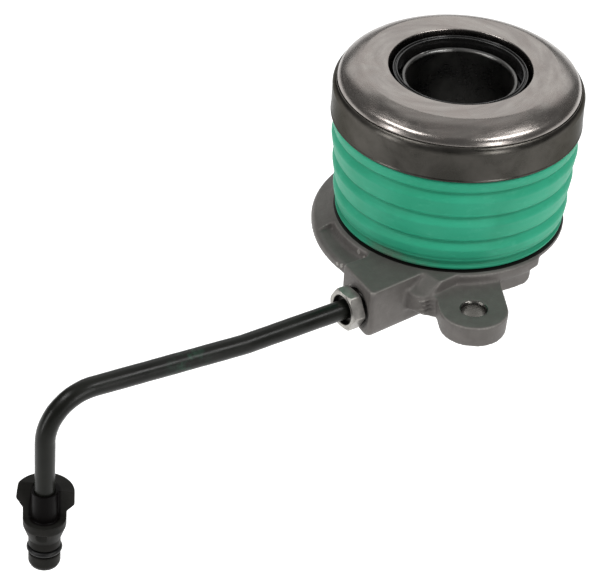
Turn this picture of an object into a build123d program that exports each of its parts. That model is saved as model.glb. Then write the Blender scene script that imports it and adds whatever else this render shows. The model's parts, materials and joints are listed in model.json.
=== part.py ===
from build123d import *
import math
import os

# Hydraulic clutch release bearing: a concentric slave cylinder that slides a
# self-centring ball bearing along the gearbox input shaft.
# Millimetres. Origin on the bearing axis, in the plane of the mounting ears'
# back faces. +Z points along the axis towards the clutch.

# ---------------------------------------------------------------- dimensions
FACE_Z = 56.4            # thrust face above the mounting plane
TRAVEL = 12.0            # working travel of the piston
FLOAT = 0.7              # self-centring play of the bearing, each way

# thrust ring (turns with the clutch)
BORE_R = 20.0            # hole in the thrust face
FLAT_R = 27.3            # outer edge of the flat part of the face
RING_R = 33.85            # outside radius of the thrust ring
RACE_IN_R = 25.4         # outside radius of its race sleeve
RING_BOT = FACE_Z - 13.5

# ball set
BALL_PCR = 27.0
BALL_R = 2.778           # 7/32 inch balls
BALL_Z = FACE_Z - 9.9
BALL_N = 20
GROOVE_R = 2.83

# outer race, shell and carrier plate (do not turn)
RACE_OUT_IN_R = 28.6
SHELL_IN_R = 34.35
SHELL_R = 35.05
SHELL_TOP = FACE_Z - 5.1
SHELL_BOT = FACE_Z - 15.7
PLATE_TOP = FACE_Z - 13.9
PLATE_BOT = FACE_Z - 15.1
PLATE_IN_R = 19.85
RETAINER_BOT = FACE_Z - 19.7

# guide sleeve
SLEEVE_IN_R = 14.8
SLEEVE_R = 16.2
SLEEVE_TOP = FACE_Z - 3.5
SLEEVE_BOT = -4.0

# piston
PIST_IN_R = 16.26
PIST_TUBE_R = 18.8
PIST_R = 20.44
PIST_TOP = FACE_Z - 1.2
STOP_Z = FACE_Z - 7.2
CYL_R = 20.5             # cylinder bore
CYL_OUT_R = 24.0
CYL_TOP = 24.2

# housing
COLLAR_R = 32.8
COLLAR_TOP = 9.8
SECTOR_R = 33.0
FLANGE_TOP = 6.4
SECTOR_BOT = 1.9
LOBE_R = 38.7
LOBE_BOT = 3.7
HUB_R = 31.3
EAR_AZ = -77.9
EAR_PCR = 45.0
EAR_R = 9.6
EAR_HOLE_R = 3.4

# pipe boss and pipe
BOSS_TOP = 9.8
BOSS_BOT = -5.8
PIPE_Z = 0.9
PIPE_R = 2.8
PIPE_IN_R = 1.65
PORT = (-23.09, -39.69)            # pipe axis at the boss end face
BEND_1 = (-51.55, -62.73)          # slight bend
BEND_2 = (-100.79, -95.36)         # right-angle bend down to the connector
BEND_1_R = 20.0
BEND_2_R = 14.2

# preload spring
SPRING_R = 27.9
WIRE_R = 1.1
SPRING_BOT = 8.0
SPRING_TOP = FACE_Z - 16.2

# boot: lobes get narrower towards the housing
BOOT_TOP = FACE_Z - 15.15
BOOT_BOT = 10.35
BOOT_R_TOP = 34.7
BOOT_R_BOT = 32.25
BOOT_WALL = 1.1
BOOT_GROOVES = (FACE_Z - 20.2, FACE_Z - 28.5, FACE_Z - 36.8, FACE_Z - 44.1)
GROOVE_DEPTH = 0.75

# plug-in connector on the pipe's end
CONN_TOP = -29.4
CONN_BOT = -54.75
PIPE_END_Z = -36.8

os.makedirs("parts", exist_ok=True)

ax_len = math.hypot(PORT[0] - BEND_1[0], PORT[1] - BEND_1[1])
AX = ((PORT[0] - BEND_1[0]) / ax_len, (PORT[1] - BEND_1[1]) / ax_len)


def port_plane(t):
    """Plane square to the pipe axis, t mm into the boss from its end face."""
    return Plane(
        origin=(PORT[0] + AX[0] * t, PORT[1] + AX[1] * t, PIPE_Z),
        x_dir=(0, 0, 1),
        z_dir=(AX[0], AX[1], 0),
    )


def polar(r, deg):
    return (r * math.cos(math.radians(deg)), r * math.sin(math.radians(deg)))


conn_axis = Axis((BEND_2[0], BEND_2[1], 0), (0, 0, 1))

# pipe boss of the housing: its lower front edge is rounded widely
FRONT_A = (-18.42, -46.62)         # plan corner between end face and front face
FRONT_B = (-3.94, -32.78)
front_len = math.hypot(FRONT_B[0] - FRONT_A[0], FRONT_B[1] - FRONT_A[1])
FRONT = ((FRONT_B[0] - FRONT_A[0]) / front_len, (FRONT_B[1] - FRONT_A[1]) / front_len)
with BuildPart() as boss:
    with BuildSketch(Plane.XY.offset(BOSS_BOT)):
        with BuildLine():
            Polyline((-27.44, -33.24), FRONT_A, FRONT_B,
                     (-3.0, -26.0), (-20.5, -24.6), (-21.3, -28.27), close=True)
        make_face()
    extrude(amount=BOSS_TOP - BOSS_BOT)
    fillet(boss.edges().filter_by(
        lambda e: abs(e.center().Z - BOSS_BOT) < 0.01
        and abs(e.length - front_len) < 0.01), radius=3.0)
    end_n = (FRONT_A[1] + 33.24, -27.44 - FRONT_A[0])
    end_edges = boss.edges().filter_by(
        lambda e: abs((e.center().X + 27.44) * end_n[0] + (e.center().Y + 33.24) * end_n[1]) < 0.5
        and e.center().Z < BOSS_TOP - 0.1)
    fillet(end_edges, radius=0.9)

# ------------------------------------------------------------------- housing
with BuildPart() as housing:
    # hub, collar, cylinder wall and centring spigot
    with BuildSketch(Plane.XZ):
        with BuildLine():
            Polyline(
                (16.2, -2.4), (19.6, -2.4), (19.6, -4.0), (22.1, -4.0),
                (22.6, -3.5), (22.6, 0.0), (27.0, 0.0), (27.6, 0.6),
                (27.6, 6.2), (HUB_R, 6.6), (HUB_R, 8.2), (COLLAR_R, 8.3),
                (COLLAR_R, COLLAR_TOP - 0.3), (COLLAR_R - 0.3, COLLAR_TOP),
                (CYL_OUT_R, COLLAR_TOP), (CYL_OUT_R, CYL_TOP - 0.5),
                (CYL_OUT_R - 0.5, CYL_TOP), (CYL_R + 0.8, CYL_TOP),
                (CYL_R, CYL_TOP - 1.2), (CYL_R, 0.0), (16.2, 0.0), close=True)
        make_face()
    revolve(axis=Axis.Z)
    # flange sector under the collar, in two steps cut off flat on the +X side
    with BuildSketch(Plane.XY.offset(SECTOR_BOT)):
        Circle(SECTOR_R)
        Circle(24.5, mode=Mode.SUBTRACT)
        with Locations((24.3 + 20, 0)):
            Rectangle(40, 90, mode=Mode.SUBTRACT)
    extrude(amount=6.5 - SECTOR_BOT)
    corner = housing.edges().filter_by(GeomType.LINE).filter_by(
        lambda e: abs(e.center().Z - SECTOR_BOT) < 0.01 and abs(e.center().X - 24.3) < 0.01)
    fillet(corner, radius=1.9)
    with BuildSketch(Plane.XY.offset(6.4)):
        Circle(33.7)
        Circle(24.5, mode=Mode.SUBTRACT)
        with Locations((26.45 + 20, 0)):
            Rectangle(40, 90, mode=Mode.SUBTRACT)
    extrude(amount=COLLAR_TOP - 0.4 - 6.4)
    # thin lobe on the -X side: round, and a little wider next to the boss
    with BuildSketch(Plane.XY.offset(LOBE_BOT)):
        with BuildLine():
            Spline(
                polar(LOBE_R, 138), polar(LOBE_R, 148), polar(LOBE_R, 158),
                polar(LOBE_R, 168), polar(LOBE_R, 178), polar(LOBE_R, 188),
                polar(38.85, 198), polar(39.2, 209), polar(39.55, 219),
                polar(39.9, 228), polar(40.0, 236))
            Line(polar(40.0, 236), polar(26.0, 236))
            ThreePointArc(polar(26.0, 236), polar(26.0, 187), polar(26.0, 138))
            Line(polar(26.0, 138), polar(LOBE_R, 138))
        make_face()
    extrude(amount=FLANGE_TOP - LOBE_BOT)
    lobe_rim = housing.edges().filter_by(GeomType.BSPLINE).filter_by(
        lambda e: abs(e.center().Z - FLANGE_TOP) < 0.05 and e.length > 40)
    fillet(lobe_rim, radius=1.2)
    # conical pad on the back half of the lobe, sloping out to the rim
    with BuildSketch(Plane(origin=(0, 0, 0),
                           x_dir=(math.cos(math.radians(138)), math.sin(math.radians(138)), 0),
                           z_dir=(math.sin(math.radians(138)), -math.cos(math.radians(138)), 0))):
        with BuildLine():
            Polyline((30.9, 5.6), (30.9, 9.2), (33.2, 9.2), (37.7, 7.0),
                     (38.2, 6.5), (38.2, 5.6), close=True)
        make_face()
    revolve(axis=Axis.Z, revolution_arc=61.5)
    # two ears on opposite sides, drafted
    for az in (EAR_AZ, EAR_AZ + 180):
        with BuildSketch(Plane.XY.offset(FLANGE_TOP)):
            with Locations(polar(EAR_PCR, az)):
                Circle(EAR_R)
            with Locations(Location((0, 0, 0), (0, 0, az))):
                with Locations((EAR_PCR / 2 + 13.5, 0)):
                    Rectangle(EAR_PCR - 27, 2 * EAR_R)
        extrude(amount=-FLANGE_TOP, taper=3)
    # web that ties the front ear to the pipe boss
    with BuildSketch(Plane.XY):
        with BuildLine():
            Polyline((0.6, -28.0), (-12.0, -34.0), (-10.1, -38.6),
                     (-7.6, -37.9), (-5.6, -38.8), (-3.9, -40.6),
                     (-2.3, -40.75), (-0.9, -41.0), (0.1, -41.9),
                     (0.9, -43.6), (6.0, -43.6), (8.0, -30.0), close=True)
        make_face()
    extrude(amount=FLANGE_TOP)
    with BuildSketch(Plane.XY.offset(FLANGE_TOP - 0.01)):
        with BuildLine():
            Polyline((4.4, -33.4), (-3.2, -41.0), (-7.9, -36.0), (0.0, -30.5),
                     close=True)
        make_face()
    with BuildSketch(Plane.XY.offset(COLLAR_TOP)):
        with BuildLine():
            Polyline((4.8, -32.9), (-0.1, -37.5), (-4.9, -32.9), (0.5, -31.0),
                     close=True)
        make_face()
    loft(ruled=True)
    # pipe boss
    add(boss.part)
    # raised ring that holds the boot, with the spring's pocket inside it
    with BuildSketch(Plane.XY.offset(COLLAR_TOP - 0.5)):
        Circle(30.6)
        Circle(29.6, mode=Mode.SUBTRACT)
    extrude(amount=12.3 - COLLAR_TOP + 0.5)
    with BuildSketch(Plane.XY.offset(7.4)):
        Circle(29.6)
        Circle(26.1, mode=Mode.SUBTRACT)
    extrude(amount=6, mode=Mode.SUBTRACT)
    # cylinder bore stays clear
    with BuildSketch(Plane.XY):
        Circle(CYL_R)
    extrude(amount=CYL_TOP, mode=Mode.SUBTRACT)
    # O-ring grooves: round the spigot, and in the sleeve's seat
    with BuildSketch(Plane.XZ):
        with Locations((22.0, -2.0)):
            Rectangle(2.0, 2.2)
        with Locations((16.75, -1.2)):
            Rectangle(1.5, 1.4)
    revolve(axis=Axis.Z, mode=Mode.SUBTRACT)
    # ear holes with a small lead-in
    for az in (EAR_AZ, EAR_AZ + 180):
        with BuildSketch(Plane.XY):
            with Locations(polar(EAR_PCR, az)):
                Circle(EAR_HOLE_R)
        extrude(amount=FLANGE_TOP, mode=Mode.SUBTRACT)
        with BuildSketch(Plane.XY.offset(FLANGE_TOP)):
            with Locations(polar(EAR_PCR, az)):
                Circle(EAR_HOLE_R + 0.5)
        extrude(amount=-0.5, taper=45, mode=Mode.SUBTRACT)
    # spot face, screw hole and drilling into the cylinder
    with BuildSketch(port_plane(-6.0)):
        Circle(6.6)
    extrude(amount=6.2, mode=Mode.SUBTRACT)
    with BuildSketch(port_plane(0.1)):
        Circle(5.0)
    extrude(amount=9.7, mode=Mode.SUBTRACT)
    with BuildSketch(port_plane(9.5)):
        Circle(1.2)
    extrude(amount=23.8, mode=Mode.SUBTRACT)

# -------------------------------------------------------------- guide sleeve
with BuildPart() as guide_sleeve:
    with BuildSketch(Plane.XZ):
        with BuildLine():
            Polyline(
                (SLEEVE_IN_R, SLEEVE_BOT + 0.4), (SLEEVE_IN_R + 0.4, SLEEVE_BOT),
                (19.5, SLEEVE_BOT), (19.5, -2.4), (SLEEVE_R, -2.4),
                (SLEEVE_R, 49.2), (15.7, 49.2), (15.7, 50.3), (SLEEVE_R, 50.3),
                (SLEEVE_R, SLEEVE_TOP - 0.7), (15.95, SLEEVE_TOP - 0.2),
                (15.6, SLEEVE_TOP), (15.3, SLEEVE_TOP), (14.95, SLEEVE_TOP - 0.2),
                (SLEEVE_IN_R, SLEEVE_TOP - 0.6), close=True)
        make_face()
    revolve(axis=Axis.Z)

with BuildPart() as sleeve_o_ring:
    with BuildSketch(Plane.XZ):
        with Locations((16.85, -1.2)):
            Circle(0.65)
    revolve(axis=Axis.Z)

with BuildPart() as mount_o_ring:
    with BuildSketch(Plane.XZ):
        with Locations((21.98, -2.0)):
            Circle(0.98)
    revolve(axis=Axis.Z)

# open ring in the sleeve's groove: the piston's upper stop
with BuildPart() as stop_ring:
    with BuildSketch(Plane.XY.offset(49.25)):
        Circle(17.1)
        Circle(15.75, mode=Mode.SUBTRACT)
        with BuildLine():
            Polyline((0, 0), polar(30, 160), polar(30, 178), close=True)
        make_face(mode=Mode.SUBTRACT)
    extrude(amount=1.0)

with BuildPart() as spring_seat:
    with BuildSketch(Plane.XY.offset(7.4)):
        Circle(29.5)
        Circle(26.2, mode=Mode.SUBTRACT)
    extrude(amount=0.6)

# -------------------------------------------------------------------- piston
with BuildPart() as piston:
    with BuildSketch(Plane.XZ):
        with BuildLine():
            Polyline(
                (PIST_IN_R, 17.3), (PIST_R - 0.4, 17.3), (PIST_R, 17.7),
                (PIST_R, FACE_Z - 17.1), (24.0, FACE_Z - 17.1),
                (24.0, PLATE_BOT - 0.04), (PIST_TUBE_R, PLATE_BOT - 0.04),
                (PIST_TUBE_R, PIST_TOP - 0.3), (PIST_TUBE_R - 0.25, PIST_TOP),
                (17.65, PIST_TOP), (17.4, PIST_TOP - 0.25), (17.4, STOP_Z),
                (PIST_IN_R, STOP_Z), close=True)
        make_face()
    revolve(axis=Axis.Z)

# U-cup that seals the pressure chamber, lips towards the oil
with BuildPart() as piston_seal:
    with BuildSketch(Plane.XZ):
        with BuildLine():
            Polyline(
                (16.24, 12.4), (16.9, 12.4), (17.6, 14.5), (19.1, 14.5),
                (19.8, 12.4), (20.46, 12.4), (20.46, 16.2), (16.24, 16.2),
                close=True)
        make_face()
    revolve(axis=Axis.Z)

with BuildPart() as seal_support_ring:
    with BuildSketch(Plane.XY.offset(16.24)):
        Circle(20.4)
        Circle(16.3, mode=Mode.SUBTRACT)
    extrude(amount=1.02)

# ------------------------------------------------- self-centring connection
with BuildPart() as float_spring:
    with BuildSketch(Plane.XZ):
        with BuildLine():
            Polyline(
                (21.9, FACE_Z - 17.2), (24.05, FACE_Z - 18.05),
                (24.05, FACE_Z - 18.6), (21.9, FACE_Z - 17.75), close=True)
        make_face()
    revolve(axis=Axis.Z)

with BuildPart() as float_retainer:
    with BuildSketch(Plane.XZ):
        with BuildLine():
            Polyline(
                (25.2, PLATE_BOT), (30.2, PLATE_BOT), (30.2, FACE_Z - 15.8),
                (26.2, FACE_Z - 15.8), (25.85, FACE_Z - 16.15),
                (25.85, RETAINER_BOT + 0.5), (25.35, RETAINER_BOT),
                (21.8, RETAINER_BOT), (21.8, RETAINER_BOT + 1.0),
                (25.2, RETAINER_BOT + 1.0), close=True)
        make_face()
    revolve(axis=Axis.Z)

# ------------------------------------------------------------------- bearing
with BuildPart() as carrier_plate:
    with BuildSketch(Plane.XY.offset(PLATE_BOT)):
        Circle(SHELL_IN_R)
        Circle(PLATE_IN_R, mode=Mode.SUBTRACT)
    extrude(amount=PLATE_TOP - PLATE_BOT)

with BuildPart() as outer_race:
    with BuildSketch(Plane.XZ):
        with BuildLine():
            Polyline(
                (RACE_OUT_IN_R, PLATE_TOP), (SHELL_IN_R, PLATE_TOP),
                (SHELL_IN_R, FACE_Z - 6.3), (RACE_OUT_IN_R + 0.3, FACE_Z - 6.3),
                (RACE_OUT_IN_R, FACE_Z - 6.6), close=True)
        make_face()
        with Locations((BALL_PCR, BALL_Z)):
            Circle(GROOVE_R, mode=Mode.SUBTRACT)
    revolve(axis=Axis.Z)

with BuildPart() as bearing_shell:
    with BuildSketch(Plane.XZ):
        with BuildLine():
            Polyline(
                (SHELL_IN_R, SHELL_TOP), (SHELL_IN_R, SHELL_BOT),
                (34.9, SHELL_BOT), (35.15, SHELL_BOT + 0.2),
                (35.15, SHELL_BOT + 0.5), (SHELL_R, SHELL_BOT + 0.8),
                (SHELL_R, SHELL_TOP - 2.5), (35.0, SHELL_TOP - 1.6),
                (34.85, SHELL_TOP - 0.8), (34.6, SHELL_TOP - 0.15), close=True)
        make_face()
    revolve(axis=Axis.Z)

with BuildPart() as bearing_seal:
    with BuildSketch(Plane.XZ):
        with BuildLine():
            Polyline(
                (25.7, FACE_Z - 6.0), (26.1, FACE_Z - 5.6),
                (SHELL_IN_R, FACE_Z - 5.6), (SHELL_IN_R, FACE_Z - 6.3),
                (25.7, FACE_Z - 6.3), close=True)
        make_face()
    revolve(axis=Axis.Z)

with BuildPart() as thrust_ring:
    with BuildSketch(Plane.XZ):
        with BuildLine():
            Polyline(
                (BORE_R, FACE_Z - 0.25), (BORE_R + 0.25, FACE_Z), (FLAT_R, FACE_Z))
            ThreePointArc((FLAT_R, FACE_Z), (30.0, FACE_Z - 1.05),
                          (32.4, FACE_Z - 2.6))
            ThreePointArc((32.4, FACE_Z - 2.6), (33.35, FACE_Z - 3.55),
                          (RING_R, FACE_Z - 4.8))
            Polyline(
                (RING_R, FACE_Z - 4.8), (RING_R, FACE_Z - 5.2),
                (RACE_IN_R, FACE_Z - 5.2), (RACE_IN_R, RING_BOT),
                (BORE_R + 0.4, RING_BOT), (BORE_R, RING_BOT + 0.4),
                (BORE_R, FACE_Z - 0.25))
        make_face()
        with Locations((BALL_PCR, BALL_Z)):
            Circle(GROOVE_R, mode=Mode.SUBTRACT)
    revolve(axis=Axis.Z)

with BuildPart() as balls:
    with Locations(Location((0, 0, BALL_Z))):
        with PolarLocations(BALL_PCR, BALL_N):
            Sphere(BALL_R)

with BuildPart() as ball_cage:
    with BuildSketch(Plane.XY.offset(FACE_Z - 13.3)):
        Circle(28.25)
        Circle(25.75, mode=Mode.SUBTRACT)
    extrude(amount=6.7)
    with Locations(Location((0, 0, BALL_Z))):
        with PolarLocations(BALL_PCR, BALL_N):
            Cylinder(radius=BALL_R + 0.1, height=6.0, rotation=(0, 90, 0),
                     mode=Mode.SUBTRACT)

# ------------------------------------------------------------ preload spring
with BuildPart() as preload_spring:
    with BuildLine() as coil:
        Helix(pitch=(SPRING_TOP - SPRING_BOT - 2 * WIRE_R) / 5.0,
              height=SPRING_TOP - SPRING_BOT - 2 * WIRE_R - 0.1,
              radius=SPRING_R, center=(0, 0, SPRING_BOT + WIRE_R + 0.05))
    with BuildSketch(Plane(origin=coil.line @ 0, z_dir=coil.line % 0)):
        Circle(WIRE_R)
    sweep(path=coil.line, is_frenet=True)

# ----------------------------------------------------------------- dust boot


def boot_env(z):
    """Outside radius of the lobes at height z."""
    s = (SHELL_BOT - z) / (SHELL_BOT - BOOT_BOT)
    return BOOT_R_TOP + (BOOT_R_BOT - BOOT_R_TOP) * max(0.0, s)


outer = [(34.15, BOOT_TOP), (34.15, SHELL_BOT - 0.1), (boot_env(SHELL_BOT - 0.6), SHELL_BOT - 0.6)]
edges_z = list(BOOT_GROOVES) + [BOOT_BOT]
for i, zg in enumerate(edges_z[:-1]):
    z_next = edges_z[i + 1]
    outer += [(boot_env(zg + 1.7), zg + 1.7),
              (boot_env(zg + 0.7) - 0.3, zg + 0.7),
              (boot_env(zg) - GROOVE_DEPTH, zg),
              (boot_env(zg - 0.5) - 0.15, zg - 0.5)]
    if i < 3:
        outer += [(boot_env(zg - 1.6) + 0.05, zg - 1.6),
                  (boot_env((zg + z_next) / 2) + 0.15, (zg + z_next) / 2)]
outer += [(BOOT_R_BOT - 0.05, BOOT_BOT + 0.4), (BOOT_R_BOT - 0.4, BOOT_BOT)]
inner = [(30.65, BOOT_BOT), (30.65, 12.5)]
for r, z in reversed([p for p in outer if 13.6 < p[1] < SHELL_BOT - 1.4]):
    inner.append((r - BOOT_WALL, z))
inner += [(31.9, SHELL_BOT - 0.9), (31.9, BOOT_TOP)]

with BuildPart() as dust_boot:
    with BuildSketch(Plane.XZ):
        with BuildLine():
            Polyline(*outer, *inner, close=True)
        make_face()
    revolve(axis=Axis.Z)

# ------------------------------------------------------------- pipe fittings
with BuildPart() as flare_nut:
    # hexagon with one flat level on top
    with BuildSketch(port_plane(-4.5)):
        RegularPolygon(radius=6.3, side_count=6, rotation=30)
    extrude(amount=3.8)
    # turned chamfer on the hexagon's outer corners
    with BuildSketch(port_plane(-4.5)):
        Circle(5.3)
    extrude(amount=3.8, taper=-62, mode=Mode.INTERSECT)
    # neck and threaded shank
    with BuildSketch(port_plane(-0.8)):
        Circle(4.2)
    extrude(amount=1.6)
    with BuildSketch(port_plane(0.4)):
        Circle(4.95)
    extrude(amount=7.5)
    with BuildSketch(port_plane(-4.6)):
        Circle(PIPE_R + 0.05)
    extrude(amount=12.7, mode=Mode.SUBTRACT)
    with BuildSketch(port_plane(-4.5)):
        Circle(4.3)
    extrude(amount=1.6, mode=Mode.SUBTRACT)

pipe_start = (PORT[0] + AX[0] * 9.45, PORT[1] + AX[1] * 9.45, PIPE_Z)
with BuildPart() as pressure_pipe:
    with BuildLine() as route:
        FilletPolyline(
            pipe_start, (BEND_1[0], BEND_1[1], PIPE_Z),
            (BEND_2[0], BEND_2[1], PIPE_Z), (BEND_2[0], BEND_2[1], PIPE_END_Z),
            radius=[BEND_1_R, BEND_2_R])
    with BuildSketch(Plane(origin=pipe_start, x_dir=(0, 0, 1),
                           z_dir=(-AX[0], -AX[1], 0))):
        Circle(PIPE_R)
        Circle(PIPE_IN_R, mode=Mode.SUBTRACT)
    sweep(path=route.line)
    # flare that the nut clamps against the bottom of its hole
    with BuildSketch(port_plane(8.05)):
        Circle(4.3)
        Circle(PIPE_IN_R, mode=Mode.SUBTRACT)
    extrude(amount=1.4)
    flare_edges = pressure_pipe.edges().filter_by(
        lambda e: e.geom_type == GeomType.CIRCLE and abs(e.radius - 4.3) < 0.01)
    chamfer(flare_edges, length=0.55)

pipe_length = sum(e.length for e in route.edges())
print("pipe centre line", round(pipe_length, 1), "mm; volume",
      round(pressure_pipe.part.volume, 1), "against section x length",
      round(math.pi * (PIPE_R ** 2 - PIPE_IN_R ** 2) * pipe_length, 1))

# plug-in connector: collar with a latch slot, neck, cone, groove and nose
with BuildPart() as connector_body:
    with BuildSketch(Plane.XZ.offset(-BEND_2[1])):
        with BuildLine():
            Polyline(
                (BEND_2[0] + 2.82, CONN_TOP), (BEND_2[0] + 7.75, CONN_TOP),
                (BEND_2[0] + 8.05, CONN_TOP - 0.3), (BEND_2[0] + 8.05, -33.6),
                (BEND_2[0] + 5.95, -36.0), (BEND_2[0] + 5.9, -40.8),
                (BEND_2[0] + 4.4, -45.0), (BEND_2[0] + 4.4, -47.45),
                (BEND_2[0] + 3.4, -47.45), (BEND_2[0] + 3.4, -49.85),
                (BEND_2[0] + 4.4, -50.0), (BEND_2[0] + 4.4, -53.1),
                (BEND_2[0] + 3.9, -54.2), (BEND_2[0] + 2.75, CONN_BOT),
                (BEND_2[0] + 1.8, CONN_BOT), (BEND_2[0] + 1.8, PIPE_END_Z - 0.5),
                (BEND_2[0] + 2.82, PIPE_END_Z - 0.5), close=True)
        make_face()
    revolve(axis=conn_axis)
    # front of the collar cut back on both sides of the pipe socket
    with BuildSketch(Plane.YZ.offset(BEND_2[0])):
        with BuildLine():
            Polyline((BEND_2[1] + 2.6, CONN_TOP + 0.1), (BEND_2[1] - 0.6, -37.0),
                     (BEND_2[1] - 0.9, -38.4), (BEND_2[1] - 12.0, -38.4),
                     (BEND_2[1] - 12.0, CONN_TOP + 0.1), close=True)
        make_face()
    extrude(amount=-9.0, mode=Mode.SUBTRACT)
    with BuildSketch(Plane.XY.offset(-38.4)):
        with Locations((BEND_2[0] + 4.5, BEND_2[1] - 5.0)):
            Rectangle(9.0, 10.0)
    extrude(amount=10.0, mode=Mode.SUBTRACT)
    with BuildSketch(Plane.XY.offset(-40.3)):
        with Locations(BEND_2):
            Circle(3.6)
            Circle(2.82, mode=Mode.SUBTRACT)
    extrude(amount=40.3 + CONN_TOP)
    # shallow guide groove down the front
    with BuildSketch(Plane.XY.offset(-46.5)):
        with Locations((BEND_2[0], BEND_2[1] - 8.2)):
            Rectangle(3.0, 6.6)
    extrude(amount=5.7, mode=Mode.SUBTRACT)

with BuildPart() as connector_o_ring:
    with BuildSketch(Plane.XZ.offset(-BEND_2[1])):
        with Locations((BEND_2[0] + 4.15, -48.6)):
            Circle(0.72)
    revolve(axis=conn_axis)

# ------------------------------------------------------------------- output
housing.part.label = "housing"
guide_sleeve.part.label = "guide_sleeve"
sleeve_o_ring.part.label = "sleeve_o_ring"
mount_o_ring.part.label = "mount_o_ring"
stop_ring.part.label = "stop_ring"
spring_seat.part.label = "spring_seat"
piston.part.label = "piston"
piston_seal.part.label = "piston_seal"
seal_support_ring.part.label = "seal_support_ring"
float_spring.part.label = "float_spring"
float_retainer.part.label = "float_retainer"
carrier_plate.part.label = "carrier_plate"
outer_race.part.label = "outer_race"
bearing_shell.part.label = "bearing_shell"
bearing_seal.part.label = "bearing_seal"
thrust_ring.part.label = "thrust_ring"
balls.part.label = "balls"
ball_cage.part.label = "ball_cage"
preload_spring.part.label = "preload_spring"
dust_boot.part.label = "dust_boot"
flare_nut.part.label = "flare_nut"
pressure_pipe.part.label = "pressure_pipe"
connector_body.part.label = "connector_body"
connector_o_ring.part.label = "connector_o_ring"

export_step(housing.part, "parts/housing.step")
export_step(guide_sleeve.part, "parts/guide_sleeve.step")
export_step(sleeve_o_ring.part, "parts/sleeve_o_ring.step")
export_step(mount_o_ring.part, "parts/mount_o_ring.step")
export_step(stop_ring.part, "parts/stop_ring.step")
export_step(spring_seat.part, "parts/spring_seat.step")
export_step(piston.part, "parts/piston.step")
export_step(piston_seal.part, "parts/piston_seal.step")
export_step(seal_support_ring.part, "parts/seal_support_ring.step")
export_step(float_spring.part, "parts/float_spring.step")
export_step(float_retainer.part, "parts/float_retainer.step")
export_step(carrier_plate.part, "parts/carrier_plate.step")
export_step(outer_race.part, "parts/outer_race.step")
export_step(bearing_shell.part, "parts/bearing_shell.step")
export_step(bearing_seal.part, "parts/bearing_seal.step")
export_step(thrust_ring.part, "parts/thrust_ring.step")
export_step(balls.part, "parts/balls.step")
export_step(ball_cage.part, "parts/ball_cage.step")
export_step(preload_spring.part, "parts/preload_spring.step")
export_step(dust_boot.part, "parts/dust_boot.step")
export_step(flare_nut.part, "parts/flare_nut.step")
export_step(pressure_pipe.part, "parts/pressure_pipe.step")
export_step(connector_body.part, "parts/connector_body.step")
export_step(connector_o_ring.part, "parts/connector_o_ring.step")
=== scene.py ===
import json
import math

import bmesh
import bpy
import numpy as np
from mathutils import Matrix, Vector


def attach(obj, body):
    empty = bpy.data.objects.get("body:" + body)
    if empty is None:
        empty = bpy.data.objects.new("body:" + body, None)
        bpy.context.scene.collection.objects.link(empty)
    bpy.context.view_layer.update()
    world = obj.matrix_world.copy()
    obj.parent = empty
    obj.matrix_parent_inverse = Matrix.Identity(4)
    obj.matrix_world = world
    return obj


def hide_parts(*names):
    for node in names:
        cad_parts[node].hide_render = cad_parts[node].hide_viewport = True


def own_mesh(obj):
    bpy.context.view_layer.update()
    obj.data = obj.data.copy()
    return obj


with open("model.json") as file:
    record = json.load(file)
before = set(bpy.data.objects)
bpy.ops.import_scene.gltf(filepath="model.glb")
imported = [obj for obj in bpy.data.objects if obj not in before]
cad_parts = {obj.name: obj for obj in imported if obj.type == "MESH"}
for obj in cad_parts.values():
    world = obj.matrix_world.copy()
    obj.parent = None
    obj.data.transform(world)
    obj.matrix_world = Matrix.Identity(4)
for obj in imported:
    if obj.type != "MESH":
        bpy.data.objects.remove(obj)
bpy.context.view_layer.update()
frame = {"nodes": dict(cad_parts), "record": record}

MM = 0.001
F = 56.4                      # thrust face above the mounting plane, mm
scene = bpy.context.scene
scene.view_settings.view_transform = "Standard"


# ------------------------------------------------------------------ colours
def lin(r, g, b):
    out = []
    for c in (r, g, b):
        c = c / 255.0
        out.append(c / 12.92 if c <= 0.04045 else ((c + 0.055) / 1.055) ** 2.4)
    return (out[0], out[1], out[2], 1.0)


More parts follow.
